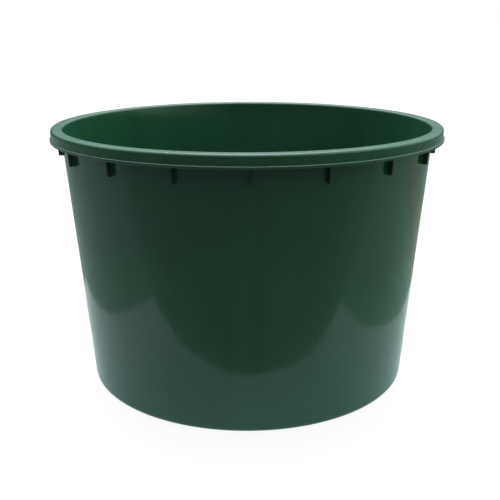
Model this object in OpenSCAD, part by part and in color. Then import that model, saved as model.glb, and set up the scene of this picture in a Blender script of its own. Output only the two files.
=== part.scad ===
// Round mortar mixing tub, about 90 litres, injection moulded in one piece.
// The moulding is drawn as its functional regions, and each region is a closed solid
// that meets its neighbours face to face: the floor with the rings and ribs under it,
// the heel, the side wall, the rolled rim and the plates that carry the rim.
// Millimetres, +Z up. The origin is on the ground, under the centre of the floor.

/* [Overall] */
// Height from the ground to the top of the rim
tub_h = 409; // [340:1:450]
// Diameter across the outside of the rolled rim, above its lip
rim_d = 612; // [580:2:660]
// Diameter of the wall's outer face, carried down to the ground
base_d = 517; // [470:1:540]

/* [Shell] */
// Thickness of the side wall, measured level
wall_t = 3.3; // [3:0.1:4]
// Thickness of the floor
floor_t = 4; // [3:0.1:5]
// Outer radius of the heel, where the wall turns under
heel_round = 8.5; // [7:0.5:10]
// Inner radius where the wall meets the floor
inner_round = 10; // [9:0.5:14]

/* [Rim] */
// Width of the rim's top, from the opening to the outer face
rim_w = 18.5; // [17:0.5:22]
// Radius of the rim's two rounded edges, and the thickness of its top
rim_round = 4; // [3:0.25:5]
// Depth of the whole rim, from its top down to the lip's lower edge
rim_drop = 19; // [17:0.5:24]
// Thickness of the rim's outer skirt
skirt_t = 3; // [2.5:0.1:3.5]
// Height of the lip at the skirt's lower edge
lip_h = 4; // [4:0.5:6]
// How far the lip stands out past the skirt
lip_out = 2; // [1:0.25:3]

/* [Gussets] */
// Number of long gussets, with one short web between each two
gusset_count = 18; // [12:2:24]
// Thickness of each gusset and web
gusset_t = 3; // [2.5:0.1:4]
// How far a long gusset stands out from the wall, below the rim
gusset_out = 8; // [6:0.5:9]
// How far the long gussets reach below the top of the rim
gusset_drop = 43; // [30:1:60]
// How far the gussets' steps and the short webs stay above the lip's lower edge
web_inset = 2; // [1:0.5:4]

/* [Underside] */
// Height of the rings that hold the floor off the ground
foot_h = 4; // [3:0.5:5]
// Middle diameter of the inner foot ring
inner_foot_d = 250; // [180:5:320]
// Thickness of the inner foot ring and of the ribs
rib_t = 3; // [2.5:0.1:4]
// Number of radial ribs between the two foot rings
rib_count = 12; // [6:1:18]
// Gap between the ribs and the ground
rib_clear = 1; // [0.5:0.25:2]
// Diameter of the gate mark in the middle of the underside
gate_d = 14; // [8:1:20]
// How far the gate mark stands down from the floor
gate_h = 1.5; // [0.5:0.25:2.5]

/* [Hidden] */
$fn = 180;

tub_green = "#1f4a39";
deep_green = "#17382b";
rim_green = "#2c5a49";

rim_r = rim_d / 2;
opening_r = rim_r - rim_w;
land_z = tub_h - rim_round;
lip_z = tub_h - rim_drop;
skirt_z = lip_z + lip_h;
skirt_in_r = rim_r - skirt_t;
web_z = lip_z + web_inset;
gusset_z = tub_h - gusset_drop;

// The wall's outer face is a straight line from the ground to the underside of the rim's top.
base_r = base_d / 2;
wall_slope = (opening_r + wall_t - base_r) / land_z;
function wall_out(z) = base_r + wall_slope * z;
function wall_in(z) = wall_out(z) - wall_t;

floor_z = foot_h + floor_t;
heel_top = floor_z + inner_round;

// The wall's straight inner face runs on a little way into its inner round.
join_z = heel_top - 0.08 * inner_round;

// The heel ends halfway up the floor's edge, and the wall stands on it.
seam_z = foot_h + floor_t / 2;

// The heel's outer round stands on the ground at foot_out_r, and its inner round leaves
// the floor at floor_r. The outer foot ring fills the width between the two.
foot_out_r = wall_out(heel_round) - heel_round;
floor_r = wall_in(heel_top) - inner_round;

// Quarter of a disc, in the first quadrant.
module quarter_disc(radius) {
    intersection() {
        circle(radius);
        square(radius);
    }
}

// Thin radial plates, wide and tall enough to cut every rim plate from.
module radial_plates(count, first_angle, thickness) {
    for (i = [0 : count - 1])
        rotate(first_angle + i * 360 / count)
            translate([0, -thickness / 2, 0])
                cube([rim_r, thickness, tub_h]);
}

module floor_plate() {
    color(tub_green)
        translate([0, 0, foot_h])
            cylinder(r = floor_r, h = floor_t);
}

module gate_mark() {
    color(deep_green)
        translate([0, 0, foot_h - gate_h])
            cylinder(d = gate_d, h = gate_h);
}

module inner_foot_ring() {
    color(deep_green)
        rotate_extrude()
            translate([(inner_foot_d - rib_t) / 2, 0])
                square([rib_t, foot_h]);
}

module floor_ribs() {
    color(deep_green)
        intersection() {
            rotate_extrude()
                translate([(inner_foot_d + rib_t) / 2, rib_clear])
                    square([floor_r - (inner_foot_d + rib_t) / 2, foot_h - rib_clear]);
            radial_plates(rib_count, 0, rib_t);
        }
}

module outer_foot_ring() {
    color(deep_green)
        rotate_extrude()
            translate([floor_r, 0])
                square([foot_out_r - floor_r, foot_h]);
}

// Section of the shell, from the ground to the underside of the rim's top.
module shell_section() {
    difference() {
        union() {
            translate([foot_out_r, heel_round])
                mirror([0, 1])
                    quarter_disc(heel_round);
            polygon([
                [floor_r, foot_h],
                [foot_out_r + heel_round / 2, foot_h],
                [wall_out(heel_round), heel_round],
                [wall_out(land_z), land_z],
                [wall_in(land_z), land_z],
                [wall_in(join_z), join_z],
                [floor_r, join_z]
            ]);
        }
        translate([floor_r, heel_top])
            circle(inner_round);
    }
}

module heel_ring() {
    color(tub_green)
        rotate_extrude()
            intersection() {
                shell_section();
                square([rim_r, seam_z]);
            }
}

module side_wall() {
    color(tub_green)
        rotate_extrude()
            intersection() {
                shell_section();
                translate([0, seam_z])
                    square([rim_r, tub_h]);
            }
}

module rim_land() {
    color(rim_green)
        rotate_extrude()
            union() {
                translate([opening_r + rim_round, land_z])
                    mirror([1, 0])
                        quarter_disc(rim_round);
                translate([opening_r + rim_round, land_z])
                    square([rim_w - 2 * rim_round, rim_round]);
                translate([rim_r - rim_round, land_z])
                    quarter_disc(rim_round);
            }
}

module rim_skirt() {
    color(rim_green)
        rotate_extrude()
            translate([skirt_in_r, skirt_z])
                square([skirt_t, land_z - skirt_z]);
}

module rim_lip() {
    color(rim_green)
        rotate_extrude()
            translate([skirt_in_r, lip_z])
                square([skirt_t + lip_out, lip_h]);
}

module long_gussets() {
    color(deep_green)
        intersection() {
            rotate_extrude()
                polygon([
                    [wall_out(gusset_z), gusset_z],
                    [wall_out(gusset_z) + gusset_out, gusset_z],
                    [wall_out(web_z) + gusset_out, web_z],
                    [skirt_in_r, web_z],
                    [skirt_in_r, land_z],
                    [wall_out(land_z), land_z]
                ]);
            radial_plates(gusset_count, -90, gusset_t);
        }
}

module short_webs() {
    color(deep_green)
        intersection() {
            rotate_extrude()
                polygon([
                    [wall_out(web_z), web_z],
                    [skirt_in_r, web_z],
                    [skirt_in_r, land_z],
                    [wall_out(land_z), land_z]
                ]);
            radial_plates(gusset_count, -90 + 180 / gusset_count, gusset_t);
        }
}

floor_plate();
gate_mark();
inner_foot_ring();
floor_ribs();
outer_foot_ring();
heel_ring();
side_wall();
rim_land();
rim_skirt();
rim_lip();
long_gussets();
short_webs();
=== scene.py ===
"""Mortar mixing tub: one injection moulding, shown as its named regions around the CAD frame."""
import math

import bpy
import numpy as np
from mathutils import Euler, Matrix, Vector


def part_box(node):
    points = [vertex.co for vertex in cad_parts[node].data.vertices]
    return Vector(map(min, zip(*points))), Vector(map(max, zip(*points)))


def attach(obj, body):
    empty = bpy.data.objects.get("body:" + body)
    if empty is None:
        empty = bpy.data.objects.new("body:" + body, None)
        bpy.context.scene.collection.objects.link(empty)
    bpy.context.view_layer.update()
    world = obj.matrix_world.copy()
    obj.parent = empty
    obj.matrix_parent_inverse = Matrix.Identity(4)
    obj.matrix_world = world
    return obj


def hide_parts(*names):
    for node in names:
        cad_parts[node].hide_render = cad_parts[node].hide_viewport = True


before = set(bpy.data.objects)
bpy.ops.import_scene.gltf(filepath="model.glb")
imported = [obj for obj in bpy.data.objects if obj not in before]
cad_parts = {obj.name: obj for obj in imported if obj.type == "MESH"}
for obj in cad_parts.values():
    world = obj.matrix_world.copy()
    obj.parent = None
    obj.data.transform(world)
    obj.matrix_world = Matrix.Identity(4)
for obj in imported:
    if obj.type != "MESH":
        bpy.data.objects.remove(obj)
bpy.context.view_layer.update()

MM = 0.001

# ---------------------------------------------------------------- sizes, in metres
BASE_R = 258.5 * MM
OPENING_R = 287.5 * MM
WALL_T = 3.3 * MM
RIM_ROUND = 4 * MM
HEEL_ROUND = 8.5 * MM
INNER_ROUND = 10 * MM
SKIRT_IN_R = 303 * MM
GUSSET_T = 3 * MM
GUSSET_OUT = 8 * MM
LONG_COUNT = 18
WEB_STEP = 10

TOP_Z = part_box("rim_land")[1][2]
LAND_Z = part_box("rim_land")[0][2]
RIM_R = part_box("rim_land")[1][0]
LIP_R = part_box("rim_lip")[1][0]
LIP_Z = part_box("rim_lip")[0][2]
SKIRT_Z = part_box("rim_skirt")[0][2]
WEB_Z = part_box("short_webs")[0][2]
GUSSET_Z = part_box("long_gussets")[0][2]
SEAM_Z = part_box("side_wall")[0][2]
FLOOR_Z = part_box("floor_plate")[1][2]
FOOT_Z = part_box("floor_plate")[0][2]
FLOOR_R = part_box("floor_plate")[1][0]
HEEL_TOP = FLOOR_Z + INNER_ROUND
RIB_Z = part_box("floor_ribs")[0][2]
INNER_FOOT_R = 125 * MM
RIB_T = 3 * MM
RIB_COUNT = 12
GATE_R = 7 * MM
GATE_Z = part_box("gate_mark")[0][2]

SLOPE = (OPENING_R + WALL_T - BASE_R) / LAND_Z
LEAN = math.atan(SLOPE)


def wall_out(z):
    """Radius of the wall's outer face at height z."""
    return BASE_R + SLOPE * z


def wall_in(z):
    """Radius of the wall's inner face at height z."""
    return wall_out(z) - WALL_T


# ---------------------------------------------------------------- shape of the moulding's small faults
def smooth(a, b, x):
    """0 below a, 1 above b, with flat ends."""
    t = np.clip((x - a) / (b - a), 0, 1)
    return t * t * (3 - 2 * t)


# Waves in the wall: height in mm, turns round the tub, mm up the wall per radian, and phase
WAVES = (
    (0.070, 9, 14, 1.0),
    (0.060, -7, 11, 2.2),
    (0.080, 4, 19, 0.5),
    (0.060, -13, 25, 3.1),
)
GROOVE_R = 292.6 * MM  # radius of the shallow groove round the rim's top
GUSSET_STEP = 2 * WEB_STEP
RIB_STEP = 360 / RIB_COUNT


def from_nearest(degrees, step, first=0.0):
    """Degrees from the nearest of the plates that stand step apart, one of them at first."""
    return (degrees - first + step / 2) % step - step / 2


def bell(x, width):
    return np.exp(-((x / width) ** 2))


def wall_faults(r, a, z):
    """How far the wall and the rim stand outward of the drawn ones."""
    high = np.clip(z / TOP_Z, 0, 1)
    oval = 0.20 * (np.cos(2 * a + 0.9) - 1) + 0.06 * (np.cos(3 * a + 2.1) - 1)
    oval += 0.05 * (np.cos(5 * a + 4.0) - 1) * np.sin(2.2 * high + 0.5)
    bow = 0.25 * np.sin(np.pi * np.clip((z - HEEL_TOP) / (LAND_Z - HEEL_TOP), 0, 1)) ** 2
    out = oval * high ** 1.5 - bow

    # Waves fade out toward the heel and the rim. Their sizes are guesses, and the wide one in front is
    # there to set where the reflection's edge lies.
    body = smooth(HEEL_TOP, HEEL_TOP + 40 * MM, z)
    body *= 1 - smooth(GUSSET_Z - 60 * MM, GUSSET_Z - 10 * MM, z)
    for amount, turns, pitch, phase in WAVES:
        out += amount * body * np.sin(turns * a + z / (pitch * MM) + phase)
    ahead = (a + 1.5 * np.pi) % (2 * np.pi) - np.pi
    out += 0.16 * body * bell(ahead, 0.55) * np.sin((z - 72 * MM) / (24 * MM))

    # Marks on the inside, over the long gussets
    inside = 1 - smooth(0.15 * WALL_T, 0.8 * WALL_T, r - wall_in(z))
    across = np.radians(from_nearest(np.degrees(a), GUSSET_STEP, -90)) * r
    sunk = bell(across, 3.0 * MM) * smooth(GUSSET_Z - 3 * MM, GUSSET_Z + 8 * MM, z)
    out += 0.10 * sunk * inside * (1 - smooth(LAND_Z - 6 * MM, LAND_Z, z))
    return out * MM


def rim_faults(r, a, z):
    """Sinking of the rim over its plates, outward and upward, and its sag."""
    off = from_nearest(np.degrees(a), WEB_STEP)
    depth = 1 + 0.35 * np.sin(2.7 * np.round(np.degrees(a) / WEB_STEP) + 0.4)
    dent = bell(np.radians(off) * r, 2.1 * MM) * depth
    between = 0.5 - 0.5 * np.cos(2 * np.pi * off / WEB_STEP)
    on_top = smooth(289.5 * MM, 293 * MM, r) * smooth(LAND_Z - 3 * MM, LAND_Z + 1 * MM, z)
    on_side = smooth(SKIRT_IN_R, SKIRT_IN_R + 2 * MM, r) * smooth(SKIRT_Z + 1 * MM, SKIRT_Z + 6 * MM, z)
    out = -on_side * (0.20 * dent + 0.05 * between)
    up = -on_top * (0.24 * dent + 0.05 * between)
    sag = 0.40 * (1 + np.cos(2 * a)) + 0.12 * (1 + np.cos(a))
    up -= sag * np.clip(z / TOP_Z, 0, 1) ** 3
    up -= 0.20 * bell(r - GROOVE_R, 0.9 * MM) * smooth(LAND_Z + 1 * MM, TOP_Z, z)
    return out * MM, up * MM


def floor_faults(r, a, z):
    """Sinking of the floor over the ring and ribs under it."""
    ring = bell(r - INNER_FOOT_R, 4 * MM)
    rib = bell(np.radians(from_nearest(np.degrees(a), RIB_STEP)) * r, 5 * MM)
    rib *= smooth(INNER_FOOT_R, INNER_FOOT_R + 8 * MM, r)
    rib *= 1 - smooth(FLOOR_R - 20 * MM, FLOOR_R - 4 * MM, r)
    on_floor = smooth(FOOT_Z + 1 * MM, FLOOR_Z - 0.5 * MM, z) * (1 - smooth(FLOOR_R - 4 * MM, FLOOR_R, r))
    return -0.12 * MM * (ring + rib) * on_floor


def warp(p):
    """How far the real moulding stands from the drawn one: it is a little out of round, its rim sags at
    the sides, its wall bows in and is slightly wavy, and the plastic has sunk over each plate of the rim
    and over the ribs under the floor."""
    x, y, z = p[:, 0], p[:, 1], p[:, 2]
    r = np.hypot(x, y)
    a = np.arctan2(y, x)
    rim_out, rim_up = rim_faults(r, a, z)
    out = wall_faults(r, a, z) + rim_out
    up = rim_up + floor_faults(r, a, z)
    reach = out / np.maximum(r, 1e-9)
    return np.stack([x * reach, y * reach, up], axis=1)


def warped_normals(p, n):
    """Normals n at points p after the warp."""
    eps = 0.05 * MM
    turned = n.copy()
    for axis in range(3):
        step = np.zeros(3)
        step[axis] = eps
        turned[:, axis] -= ((warp(p + step) - warp(p - step)) * n).sum(axis=1) / (2 * eps)
    return turned / np.linalg.norm(turned, axis=1)[:, None]


# ---------------------------------------------------------------- rings
def line(a, b, step=None):
    """Run of section points from a to b, with the solid on the left."""
    a, b = np.array(a, float), np.array(b, float)
    length = np.linalg.norm(b - a)
    count = 1 if step is None else max(1, math.ceil(length / step))
    n = np.array([b[1] - a[1], a[0] - b[0]]) / length
    return [(*(a + (b - a) * i / count), *n) for i in range(count + 1)]


def arc(centre, radius, start, end, count=8):
    """Run of section points round centre, in degrees: convex where the angle grows, else hollow."""
    side = 1 if end > start else -1
    run = []
    for i in range(count + 1):
        t = math.radians(start + (end - start) * i / count)
        c, s = math.cos(t), math.sin(t)
        run.append((centre[0] + radius * c, centre[1] + radius * s, side * c, side * s))
    return run


def even_angles(count):
    """Angles in radians, evenly spaced."""
    return np.arange(count) * 2 * np.pi / count


def web_angles(offsets):
    """Angles in radians, closer together at every plate of the rim."""
    around = sorted({-o for o in offsets} | set(offsets) | {0})
    if -WEB_STEP / 2 in around:
        around.remove(-WEB_STEP / 2)
    return np.radians([k * WEB_STEP + o for k in range(360 // WEB_STEP) for o in around])


RIM_ANGLES = web_angles([0.12, 0.25, 0.4, 0.58, 0.8, 1.1, 1.5, 2.1, 3.0, 4.0, 5.0])
WALL_ANGLES = web_angles([0.35, 0.7, 1.15, 1.8, 2.8, 3.9, 5.0])


def finish_piece(name, verts, faces, loop_normals, node, material):
    """Piece in place of a CAD node. Without normals of its own, it is sharp where it turns by over 38
    degrees."""
    mesh = bpy.data.meshes.new(name)
    mesh.from_pydata(verts.tolist(), [], faces)
    mesh.polygons.foreach_set("use_smooth", [True] * len(mesh.polygons))
    if loop_normals is not None:
        mesh.normals_split_custom_set(loop_normals.tolist())
    else:
        mesh.set_sharp_from_angle(angle=math.radians(38))
    mesh.materials.append(material)
    obj = bpy.data.objects.new(name, mesh)
    bpy.context.scene.collection.objects.link(obj)
    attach(obj, "root")
    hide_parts(node)
    return obj


def revolve(name, runs, angles, node, material):
    """Closed ring, or disc where the section starts and ends on the axis, with exact normals."""
    points, spans = [], []
    for run in runs:
        joined = points and np.allclose(points[-1][:2], run[0][:2], atol=1e-9)
        if not joined:
            points.append(run[0])
        start = len(points) - 1
        for i in range(1, len(run)):
            points.append(run[i])
            spans.append((start + i - 1, start + i, run[i - 1][2:], run[i][2:]))
    disc = points[0][0] < 1e-9
    if not disc:
        points.pop()
        spans[-1] = (spans[-1][0], 0, *spans[-1][2:])
    section = np.array([q[:2] for q in points])
    m, n = len(section), len(angles)
    c, s = np.cos(angles), np.sin(angles)
    verts = np.stack(
        [np.outer(c, section[:, 0]), np.outer(s, section[:, 0]), np.tile(section[:, 1], (n, 1))], axis=2
    ).reshape(-1, 3)

    faces, base, normals = [], [], []
    for k0, k1, n0, n1 in spans:
        for i in range(n):
            j = (i + 1) % n
            corners = [(i, k0, n0), (j, k0, n0), (j, k1, n1), (i, k1, n1)]
            if disc and k0 == 0:
                corners = [(0, k0, n0), (j, k1, n1), (i, k1, n1)]
            elif disc and k1 == m - 1:
                corners = [(i, k0, n0), (j, k0, n0), (0, k1, n1)]
            faces.append([a * m + k for a, k, _ in corners])
            for a, k, (nr, nz) in corners:
                base.append(a * m + k)
                normals.append((c[a] * nr, s[a] * nr, nz))
    base, normals = np.array(base), np.array(normals)
    normals = warped_normals(verts[base], normals)
    verts = verts + warp(verts)
    if disc:
        used = np.unique(base)
        back = np.full(len(verts), -1)
        back[used] = np.arange(len(used))
        faces = [[int(back[v]) for v in f] for f in faces]
        verts = verts[used]
    return finish_piece(name, verts, faces, normals, node, material)


# ---------------------------------------------------------------- plates
WEB_DRAFT = 0.12 * MM
WEB_FILLET = 1.3 * MM
WEB_FAR_FILLET = 1.0 * MM
WEB_EDGE = 0.45 * MM


def plate_section(reach, half, fillet, edge, far_fillet=0.0, bury=0.05 * MM):
    """Level section of a plate that stands on a face: (distance from it, sideways), anticlockwise."""
    right = []
    steps = 4
    for i in range(steps + 1):
        t = math.radians(180 + 90 * i / steps)
        right.append((fillet + fillet * math.cos(t), -(half + fillet + fillet * math.sin(t))))
    right[0] = (-bury, right[0][1])
    if far_fillet:
        for i in range(steps + 1):
            t = math.radians(270 + 90 * i / steps)
            out = far_fillet * math.cos(t) - far_fillet
            aside = far_fillet + far_fillet * math.sin(t)
            right.append((reach + out, -(half + aside)))
        right[-1] = (reach + bury, right[-1][1])
    else:
        for i in range(steps + 1):
            t = math.radians(-90 + 90 * i / steps)
            right.append((reach - edge + edge * math.cos(t), -(half - edge) + edge * math.sin(t)))
    return right + [(d, -h) for d, h in reversed(right)]


def loft(levels):
    """Vertices and faces of a closed solid through same-sized loops."""
    n = len(levels[0])
    verts = [v for level in levels for v in level]
    faces = [list(range(n))[::-1]]
    for k in range(len(levels) - 1):
        for i in range(n):
            j = (i + 1) % n
            faces.append([k * n + i, k * n + j, (k + 1) * n + j, (k + 1) * n + i])
    faces.append([(len(levels) - 1) * n + i for i in range(n)])
    return verts, faces


def plates(name, angles, levels_of, node, material):
    """One object of separate closed plates, one at each angle."""
    verts, faces = [], []
    for index, angle in enumerate(angles):
        c, s = math.cos(angle), math.sin(angle)
        levels = [
            [(r * c - t * s, r * s + t * c, z) for r, t, z in level] for level in levels_of(index)
        ]
        v, f = loft(levels)
        faces += [[i + len(verts) for i in face] for face in f]
        verts += v
    verts = np.array(verts)
    return finish_piece(name, verts + warp(verts), faces, None, node, material)


def web_levels(bottom, step_z, reach_low):
    """Levels of a plate between the wall and the rim: it reaches reach_low below step_z, and the skirt
    above it. A plate with its bottom at step_z has no step."""
    top = LAND_Z
    stepped = step_z > bottom
    edge = 0.5 * MM

    def level(z, inset, reach, far_fillet):
        """Section at z: the plate's sides draw in a little downward."""
        half = GUSSET_T / 2 - WEB_DRAFT * (top - z) / (top - bottom) - inset
        ring = plate_section(reach, half, WEB_FILLET, WEB_EDGE, far_fillet)
        return [(wall_out(z) + d, h, z) for d, h in ring]

    def levels(index):
        rows = []
        for i in range(5):
            t = math.radians(90 * i / 4)
            rows.append((bottom + edge * (1 - math.cos(t)), edge * (1 - math.sin(t))))
        if stepped:
            rows += [(bottom + edge + (step_z - bottom - edge) * i / 5, 0) for i in range(1, 6)]
        made = []
        for z, inset in rows:
            if stepped:
                made.append(level(z, inset, reach_low - inset, 0))
            else:
                made.append(level(z, inset, SKIRT_IN_R - wall_out(z), WEB_FAR_FILLET))
        start = step_z if stepped else bottom + edge
        for i in range(0 if stepped else 1, 5):
            z = start + (top - start) * i / 4
            made.append(level(z, 0, SKIRT_IN_R - wall_out(z), WEB_FAR_FILLET))
        return made

    return levels


# ---------------------------------------------------------------- materials
class Nodes:
    """Short names for making a material's nodes."""

    def __init__(self, tree):
        self.tree = tree

    def add(self, kind, inputs=None, **settings):
        node = self.tree.nodes.new(kind)
        for key, value in settings.items():
            setattr(node, key, value)
        for key, value in (inputs or {}).items():
            if isinstance(value, bpy.types.NodeSocket):
                self.tree.links.new(value, node.inputs[key])
            else:
                node.inputs[key].default_value = value
        return node

    def math(self, operation, a, b=0.0):
        return self.add("ShaderNodeMath", {0: a, 1: b}, operation=operation).outputs[0]

    def noise(self, vector, scale, detail=2.0, rough=0.5):
        return self.add(
            "ShaderNodeTexNoise", {"Vector": vector, "Scale": scale, "Detail": detail, "Roughness": rough}
        ).outputs["Fac"]

    def remap(self, value, low, high, to_low=0.0, to_high=1.0):
        return self.add(
            "ShaderNodeMapRange",
            {"Value": value, "From Min": low, "From Max": high, "To Min": to_low, "To Max": to_high},
            interpolation_type="SMOOTHSTEP",
        ).outputs[0]

    def stretch(self, vector, scale):
        return self.add("ShaderNodeVectorMath", {0: vector, 1: scale}, operation="MULTIPLY").outputs[0]

    def mix(self, factor, a, b):
        node = self.add("ShaderNodeMix", data_type="RGBA")
        for socket, value in ((node.inputs[0], factor), (node.inputs[6], a), (node.inputs[7], b)):
            if isinstance(value, bpy.types.NodeSocket):
                self.tree.links.new(value, socket)
            else:
                socket.default_value = value
        return node.outputs[2]


def blank(block):
    """Emptied nodes of a new material or world."""
    block.use_nodes = True
    block.node_tree.nodes.clear()
    return Nodes(block.node_tree)


def plastic(name, colour, roughness, grain=1.0, scuffs=0.5, lip_highlight=False):
    """Moulded polyethylene: flow marks, fine grain, faint rubs up the wall, paler wear on the lip and foot,
    and, when asked for, a painted highlight: a thin pale line along the lip's top edge, where light catches
    it."""
    mat = bpy.data.materials.new(name)
    n = blank(mat)
    where = n.add("ShaderNodeTexCoord").outputs["Object"]
    xyz = n.add("ShaderNodeSeparateXYZ", {0: where})
    z = xyz.outputs[2]
    x_squared = n.math("POWER", xyz.outputs[0], 2.0)
    y_squared = n.math("POWER", xyz.outputs[1], 2.0)
    radius = n.math("SQRT", n.math("ADD", x_squared, y_squared))

    cloud = n.noise(where, 7.0, 3.0)
    flow = n.noise(n.stretch(where, (26.0, 26.0, 2.2)), 1.0, 3.0, 0.55)
    mottle = n.noise(where, 160.0, 2.0)
    fine = n.noise(where, 1500.0, 2.0, 0.6)

    light = n.math("ADD", n.remap(cloud, 0.25, 0.75, -0.07, 0.07), n.remap(flow, 0.2, 0.8, -0.08, 0.08))
    light = n.math("ADD", light, n.remap(mottle, 0.2, 0.8, -0.03, 0.03))
    factor = n.math("ADD", light, 0.5)
    dark = tuple(0.55 * c for c in colour) + (1.0,)
    pale = tuple(1.45 * c for c in colour) + (1.0,)
    shade = n.mix(factor, dark, pale)

    rub = n.noise(n.stretch(where, (420.0, 420.0, 9.0)), 1.0, 2.0, 0.6)
    patch = n.noise(where, 11.0, 2.0)
    rub = n.math("MULTIPLY", n.remap(rub, 0.64, 0.74), n.remap(patch, 0.48, 0.66))
    rub = n.math("MULTIPLY", rub, scuffs)
    speck = n.remap(n.noise(where, 330.0, 3.0, 0.7), 0.50, 0.72)
    foot = n.math("MULTIPLY", n.remap(z, 0.0035, 0.0), speck)
    outer = n.remap(radius, RIM_R - 0.0055, RIM_R - 0.0015)
    rim = n.math("MULTIPLY", n.remap(z, TOP_Z - 0.0025, TOP_Z + 0.0002), outer)
    rim = n.math("MULTIPLY", rim, n.remap(speck, 0.2, 0.9))
    lip = n.math("MULTIPLY", n.remap(radius, LIP_R - 0.0012, LIP_R - 0.0001), speck)
    wear = n.math("MAXIMUM", n.math("MULTIPLY", foot, 0.8), n.math("MAXIMUM", rim, lip))
    wear = n.math("MULTIPLY", wear, scuffs)
    mark = n.math("MAXIMUM", n.math("MULTIPLY", rub, 0.45), n.math("MULTIPLY", wear, 0.5))
    # Painted highlight: a thin pale line along the lip's top edge, where light from above catches it.
    if lip_highlight:
        below = n.remap(z, SKIRT_Z - 0.0014, SKIRT_Z - 0.0006)
        above = n.remap(z, SKIRT_Z + 0.0006, SKIRT_Z + 0.0002)
        stands_out = n.remap(radius, RIM_R + 0.0003, RIM_R + 0.0009)
        lip_highlight_mask = n.math("MULTIPLY", n.math("MULTIPLY", below, above), stands_out)
        shade = n.mix(lip_highlight_mask, shade, (0.12, 0.21, 0.16, 1.0))
    chalk = tuple(0.35 * c + 0.16 for c in colour) + (1.0,)
    shade = n.mix(mark, shade, chalk)

    rough = n.math("ADD", n.remap(cloud, 0.3, 0.7, -0.02, 0.02), n.remap(mottle, 0.2, 0.8, -0.015, 0.015))
    rough = n.math("ADD", rough, roughness)
    rough = n.math("ADD", rough, n.math("MULTIPLY", mark, 0.30))

    height = n.math("ADD", n.math("MULTIPLY", fine, 0.6), n.math("MULTIPLY", mottle, 0.9))
    height = n.math("SUBTRACT", height, n.math("MULTIPLY", rub, 0.8))
    bump = n.add("ShaderNodeBump", {"Height": height, "Strength": 0.35 * grain, "Distance": 0.00003})
    shader = n.add(
        "ShaderNodeBsdfPrincipled",
        {"Base Color": shade, "Roughness": rough, "Normal": bump.outputs[0], "IOR": 1.5},
    )
    out = n.add("ShaderNodeOutputMaterial")
    n.tree.links.new(shader.outputs[0], out.inputs[0])
    return mat


def linear(*srgb):
    """Linear colour from 8-bit sRGB."""
    return tuple(((v / 255 + 0.055) / 1.055) ** 2.4 for v in srgb)


BODY = linear(32, 77, 54)
tub_mat = plastic("tub_plastic", BODY, 0.105, 0.5, 0.10)
# The rim's plastic carries the painted highlight on the lip's top edge.
rim_mat = plastic("rim_plastic", BODY, 0.15, 0.4, 0.10, True)
# The plates, rings and ribs are the same plastic as the body, darkened to 0.4 of its colour as painted
# shade.
rib_shade_mat = plastic("rib_plastic", tuple(0.4 * c for c in BODY), 0.45, 1.0, 0.1)

# ---------------------------------------------------------------- the moulding
lean_deg = math.degrees(LEAN)

# Wall, with its two rounds: both are tangent to it, and the inner one to the floor
out_c = (wall_out(HEEL_ROUND) - HEEL_ROUND / math.cos(LEAN), HEEL_ROUND)
in_c = (FLOOR_R, HEEL_TOP)
seam_deg = math.degrees(math.asin((SEAM_Z - HEEL_ROUND) / HEEL_ROUND))
low_run = arc(out_c, HEEL_ROUND, -90, seam_deg, 14)
out_run = arc(out_c, HEEL_ROUND, seam_deg, -lean_deg, 2)
in_run = arc(in_c, INNER_ROUND, -lean_deg, -90, 14)
revolve(
    "side_wall_shell",
    [
        line((FLOOR_R, SEAM_Z), out_run[0][:2]),
        out_run,
        line(out_run[-1][:2], (wall_out(LAND_Z), LAND_Z), 9 * MM),
        line((wall_out(LAND_Z), LAND_Z), (wall_in(LAND_Z), LAND_Z)),
        line((wall_in(LAND_Z), LAND_Z), in_run[0][:2], 9 * MM),
        in_run,
        line(in_run[-1][:2], (FLOOR_R, SEAM_Z)),
    ],
    WALL_ANGLES, "side_wall", tub_mat,
)

# Heel, below the seam
revolve(
    "heel_ring_shell",
    [
        line((FLOOR_R, FOOT_Z), (out_c[0], FOOT_Z)),
        line((out_c[0], FOOT_Z), (out_c[0], 0.0)),
        low_run,
        line(low_run[-1][:2], (FLOOR_R, SEAM_Z)),
        line((FLOOR_R, SEAM_Z), (FLOOR_R, FOOT_Z)),
    ],
    WALL_ANGLES, "heel_ring", tub_mat,
)

# Floor
revolve(
    "floor_plate_disc",
    [
        line((0, FOOT_Z), (FLOOR_R, FOOT_Z), 12 * MM),
        line((FLOOR_R, FOOT_Z), (FLOOR_R, FLOOR_Z)),
        line((FLOOR_R, FLOOR_Z), (INNER_FOOT_R + 14 * MM, FLOOR_Z), 7 * MM),
        line((INNER_FOOT_R + 14 * MM, FLOOR_Z), (INNER_FOOT_R - 14 * MM, FLOOR_Z), 2 * MM),
        line((INNER_FOOT_R - 14 * MM, FLOOR_Z), (6 * MM, FLOOR_Z), 14 * MM),
        line((6 * MM, FLOOR_Z), (0, FLOOR_Z), 3 * MM),
    ],
    WALL_ANGLES, "floor_plate", tub_mat,
)

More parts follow.
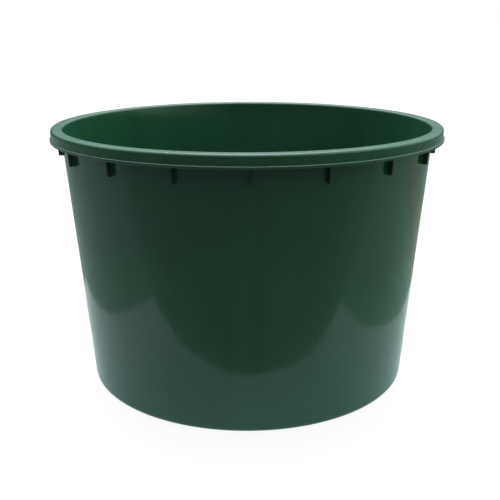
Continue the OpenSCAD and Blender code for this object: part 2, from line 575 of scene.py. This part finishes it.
# Rings and ribs under the floor
soft = 0.6 * MM  # radius of the lower edges
foot_in, foot_out = FLOOR_R, out_c[0]
revolve(
    "outer_foot_ring_band",
    [
        arc((foot_in + soft, soft), soft, 180, 270, 4),
        line((foot_in + soft, 0), (foot_out, 0)),
        line((foot_out, 0), (foot_out, FOOT_Z)),
        line((foot_out, FOOT_Z), (foot_in, FOOT_Z)),
        line((foot_in, FOOT_Z), (foot_in, soft)),
    ],
    WALL_ANGLES, "outer_foot_ring", rib_shade_mat,
)
ring_in, ring_out = INNER_FOOT_R - RIB_T / 2, INNER_FOOT_R + RIB_T / 2
cove = 1.0 * MM  # radius where a ring or rib meets the floor
revolve(
    "inner_foot_ring_band",
    [
        arc((ring_in + soft, soft), soft, 180, 270, 4),
        line((ring_in + soft, 0), (ring_out - soft, 0)),
        arc((ring_out - soft, soft), soft, 270, 360, 4),
        line((ring_out, soft), (ring_out, FOOT_Z - cove)),
        arc((ring_out + cove, FOOT_Z - cove), cove, 180, 90, 5),
        line((ring_out + cove, FOOT_Z), (ring_in - cove, FOOT_Z)),
        arc((ring_in - cove, FOOT_Z - cove), cove, 90, 0, 5),
        line((ring_in, FOOT_Z - cove), (ring_in, soft)),
    ],
    even_angles(240), "inner_foot_ring", rib_shade_mat,
)


def rib_levels(index):
    """Along the rib: the section stands down from the floor, with a soft lower edge and a flared root."""
    half, edge = RIB_T / 2 - 0.1 * MM, 0.5 * MM
    start, end = ring_out - 0.1 * MM, FLOOR_R + 0.1 * MM
    ring = []
    for i in range(5):
        t = math.radians(90 + 90 * i / 4)
        ring.append((half + cove + cove * math.cos(t), FOOT_Z - cove + cove * math.sin(t)))
    for i in range(5):
        t = math.radians(-90 * i / 4)
        ring.append((half - edge + edge * math.cos(t), RIB_Z + edge + edge * math.sin(t)))
    ring += [(-h, z) for h, z in reversed(ring)]
    return [[(r, h, z) for h, z in ring] for r in np.linspace(start, end, 10)]


plates(
    "floor_ribs_set", [2 * math.pi * k / RIB_COUNT for k in range(RIB_COUNT)], rib_levels,
    "floor_ribs", rib_shade_mat,
)
revolve(
    "gate_mark_disc",
    [
        line((0, GATE_Z + 0.9 * MM), (1.4 * MM, GATE_Z + 0.9 * MM)),
        line((1.4 * MM, GATE_Z + 0.9 * MM), (1.9 * MM, GATE_Z)),
        line((1.9 * MM, GATE_Z), (GATE_R - 0.6 * MM, GATE_Z), 1 * MM),
        arc((GATE_R - 0.6 * MM, GATE_Z + 0.6 * MM), 0.6 * MM, -90, 0, 5),
        line((GATE_R, GATE_Z + 0.6 * MM), (GATE_R, FOOT_Z)),
        line((GATE_R, FOOT_Z), (0, FOOT_Z)),
    ],
    even_angles(72), "gate_mark", rib_shade_mat,
)

# Rim
in_top = (wall_in(LAND_Z) + RIM_ROUND / math.cos(LEAN), LAND_Z)
out_top = (RIM_R - RIM_ROUND, LAND_Z)
first = arc(in_top, RIM_ROUND, 90, 180 - lean_deg, 12)
revolve(
    "rim_land_top",
    [
        line((wall_in(LAND_Z), LAND_Z), (wall_out(LAND_Z), LAND_Z)),
        line((wall_out(LAND_Z), LAND_Z), (SKIRT_IN_R, LAND_Z), 4 * MM),
        line((SKIRT_IN_R, LAND_Z), (RIM_R, LAND_Z)),
        arc(out_top, RIM_ROUND, 0, 90, 12),
        line((out_top[0], TOP_Z), (in_top[0] + 3.5 * MM, TOP_Z), 1.2 * MM),
        line((in_top[0] + 3.5 * MM, TOP_Z), (in_top[0], TOP_Z), 0.35 * MM),
        first,
        line(first[-1][:2], (wall_in(LAND_Z), LAND_Z)),
    ],
    RIM_ANGLES, "rim_land", rim_mat,
)
nook = 0.3 * MM  # radius between the skirt and the lip
revolve(
    "rim_skirt_band",
    [
        line((SKIRT_IN_R, SKIRT_Z), (RIM_R + nook, SKIRT_Z)),
        arc((RIM_R + nook, SKIRT_Z + nook), nook, 270, 180, 4),
        line((RIM_R, SKIRT_Z + nook), (RIM_R, LAND_Z), 1.2 * MM),
        line((RIM_R, LAND_Z), (SKIRT_IN_R, LAND_Z)),
        line((SKIRT_IN_R, LAND_Z), (SKIRT_IN_R, SKIRT_Z)),
    ],
    RIM_ANGLES, "rim_skirt", rim_mat,
)
lip_r = LIP_R - 0.08 * MM
ease, under = 0.4 * MM, 0.8 * MM  # radii of the lip's upper and lower outer edges
revolve(
    "rim_lip_band",
    [
        arc((SKIRT_IN_R + soft, LIP_Z + soft), soft, 180, 270, 4),
        line((SKIRT_IN_R + soft, LIP_Z), (lip_r - under, LIP_Z), 2 * MM),
        arc((lip_r - under, LIP_Z + under), under, 270, 360, 6),
        line((lip_r, LIP_Z + under), (lip_r, SKIRT_Z - ease), 1.5 * MM),
        arc((lip_r - ease, SKIRT_Z - ease), ease, 0, 90, 6),
        line((lip_r - ease, SKIRT_Z), (SKIRT_IN_R, SKIRT_Z), 1 * MM),
        line((SKIRT_IN_R, SKIRT_Z), (SKIRT_IN_R, LIP_Z + soft)),
    ],
    RIM_ANGLES, "rim_lip", rim_mat,
)

# Plates that carry the rim
plates(
    "long_gussets_set",
    [math.radians(-90 + 2 * WEB_STEP * k) for k in range(LONG_COUNT)],
    web_levels(GUSSET_Z, WEB_Z, GUSSET_OUT),
    "long_gussets", rib_shade_mat,
)
plates(
    "short_webs_set",
    [math.radians(-90 + WEB_STEP + 2 * WEB_STEP * k) for k in range(LONG_COUNT)],
    web_levels(WEB_Z, WEB_Z, 0.0),
    "short_webs", rib_shade_mat,
)


# ---------------------------------------------------------------- floor, cards and light
def flat(name, low, high, z, material):
    """Level sheet of the stage, from corner low to corner high."""
    corners = [(low[0], low[1], z), (high[0], low[1], z), (high[0], high[1], z), (low[0], high[1], z)]
    mesh = bpy.data.meshes.new(name)
    mesh.from_pydata(corners, [], [(0, 1, 2, 3)])
    mesh.materials.append(material)
    obj = bpy.data.objects.new(name, mesh)
    bpy.context.scene.collection.objects.link(obj)
    return obj


def glow(name, colour, beside=None, edge_y=None, share=1.0):
    """Paper that gives off light, for the cards that only the tub sees. At edge_y it takes a share of the
    colour of the card beside it, which fades away from there. With no edge_y, it turns to the other colour
    toward both sides."""
    mat = bpy.data.materials.new(name)
    n = blank(mat)
    shade = (*colour, 1.0)
    if beside:
        place = n.add("ShaderNodeSeparateXYZ", {0: n.add("ShaderNodeTexCoord").outputs["Object"]})
        wide = n.math("MAXIMUM", n.math("ABSOLUTE", place.outputs[0]), 0.02)
        if edge_y is None:
            fade = n.remap(wide, 0.15, 0.45)
        else:
            away = n.math("ABSOLUTE", n.math("SUBTRACT", place.outputs[1], edge_y))
            fade = n.math("POWER", 0.06, n.math("DIVIDE", away, wide))
        shade = n.mix(n.math("MULTIPLY", fade, share), shade, (*beside, 1.0))
    light = n.add("ShaderNodeEmission", {"Color": shade, "Strength": 1.0})
    n.tree.links.new(light.outputs[0], n.add("ShaderNodeOutputMaterial").inputs[0])
    return mat


# White floor that only the camera sees; the tub's light falls on it a little
floor_mat = bpy.data.materials.new("floor_paper")
fn = blank(floor_mat)
own = fn.add("ShaderNodeEmission", {"Color": (1.0, 1.0, 1.0, 1.0), "Strength": 0.92})
lit = fn.add("ShaderNodeBsdfDiffuse", {"Color": (0.06, 0.06, 0.06, 1.0)})
both = fn.add("ShaderNodeAddShader", {0: own.outputs[0], 1: lit.outputs[0]})
fn.tree.links.new(both.outputs[0], fn.add("ShaderNodeOutputMaterial").inputs[0])

floor = flat("floor", (-30, -30), (30, 30), 0.0, floor_mat)
for flag in ("visible_diffuse", "visible_glossy", "visible_transmission", "visible_shadow"):
    setattr(floor, flag, False)

# What the tub sees of the floor: darker paper than the camera sees, in patches round it. The papers' and
# the sky's colours began as a fit of test renders to the photo's colours, made outside this script. The
# near, back left and far papers keep its numbers, and the others were changed or chosen.
FRONT_Y, BACK_Y, LEFT_X, RIGHT_X = -0.4, 0.34, -0.513, 0.45
FAR_Y = 0.8
REACH = 3.0
SIDE = (0.324, 0.456, 0.419)
under_mat = glow("under_paper", (0.015, 0.015, 0.015))
front_mat = glow("front_paper", (0.53, 0.69, 0.745), (0.68, 0.85, 0.87))
near_mat = glow("near_paper", (0.172, 0.194, 0.208), SIDE, FRONT_Y, 0.65)
left_mat = glow("left_paper", (0.325, 0.445, 0.42))
right_mat = glow("right_paper", (0.322, 0.468, 0.418))
back_left_mat = glow("back_left_paper", (0.282, 0.388, 0.348), SIDE, BACK_Y, 0.8)
back_right_mat = glow("back_right_paper", (0.33, 0.364, 0.285), SIDE, BACK_Y, 0.4)
far_mat = glow("far_paper", (0.254, 0.361, 0.331))

CARD_Z = -0.0003
cards = [
    flat("card_under", (-8, -8), (8, 8), 4 * CARD_Z, under_mat),
    flat("card_front", (LEFT_X, FRONT_Y), (RIGHT_X, BACK_Y), CARD_Z, front_mat),
    flat("card_near", (-REACH, -REACH), (REACH, FRONT_Y), CARD_Z, near_mat),
    flat("card_left", (-REACH, FRONT_Y), (LEFT_X, BACK_Y), CARD_Z, left_mat),
    flat("card_right", (RIGHT_X, FRONT_Y), (REACH, BACK_Y), CARD_Z, right_mat),
    flat("card_back_left", (-REACH, BACK_Y), (0, FAR_Y), CARD_Z, back_left_mat),
    flat("card_back_right", (0, BACK_Y), (REACH, FAR_Y), CARD_Z, back_right_mat),
    flat("card_far", (-REACH, FAR_Y), (REACH, REACH), CARD_Z, far_mat),
]
for card in cards:
    card.visible_camera = False
    card.visible_shadow = False

# Soft light: a box overhead that glossy reflections see dimmed, a wash above and behind the tub, a wide sky
# and fill from both sides
world = bpy.data.worlds.new("studio")
bpy.context.scene.world = world
wn = blank(world)
ray = wn.add("ShaderNodeTexCoord").outputs["Generated"]
paths = wn.add("ShaderNodeLightPath")
veil = wn.math("SUBTRACT", 1.0, wn.math("MULTIPLY", paths.outputs["Is Glossy Ray"], 0.88))
above = wn.remap(wn.add("ShaderNodeSeparateXYZ", {0: ray}).outputs[2], -0.01, 0.02)
total = (0.0, 0.0, 0.0)
for axis, power, colour, dimmed in (
    ((0.0, 0.342, 0.940), 16.0, (32.5, 28.0, 35.0), veil),
    ((0.0, 0.707, 0.707), 8.0, (1.5, 1.4, 1.75), 1.0),
    ((0.0, 0.0, 1.0), 2.0, (1.5, 1.33, 1.38), 1.0),
    ((1.0, 0.0, 0.0), 2.0, (0.9, 1.2, 0.9), 1.0),
    ((-1.0, 0.0, 0.0), 2.0, (0.12, 0.1, 0.06), 1.0),
):
    facing = wn.add("ShaderNodeVectorMath", {0: ray, 1: axis}, operation="DOT_PRODUCT").outputs["Value"]
    lobe = wn.math("POWER", wn.math("MAXIMUM", facing, 0.0), power)
    lobe = wn.math("MULTIPLY", wn.math("MULTIPLY", lobe, above), dimmed)
    part = wn.add("ShaderNodeVectorMath", {0: colour, "Scale": lobe}, operation="SCALE").outputs[0]
    total = wn.add("ShaderNodeVectorMath", {0: total, 1: part}, operation="ADD").outputs[0]
seen = paths.outputs["Is Camera Ray"]
glowing = wn.mix(seen, total, (1.0, 1.0, 1.0, 1.0))
sky = wn.add("ShaderNodeBackground", {"Color": glowing, "Strength": 1.0})
wn.tree.links.new(sky.outputs[0], wn.add("ShaderNodeOutputWorld").inputs[0])

# ---------------------------------------------------------------- camera
lens = bpy.data.cameras.new("camera")
lens.sensor_width = 36.0
lens.lens = 56.2
camera = bpy.data.objects.new("camera", lens)
camera.location = (-0.0218, -1.2513, 0.5715)
tilt = Euler((math.radians(73.27), 0.0, math.radians(-1.185))).to_matrix()
camera.rotation_euler = (tilt @ Matrix.Rotation(math.radians(-0.16), 3, "Z")).to_euler()
bpy.context.scene.collection.objects.link(camera)
bpy.context.scene.camera = camera
bpy.context.scene.view_settings.view_transform = "Standard"
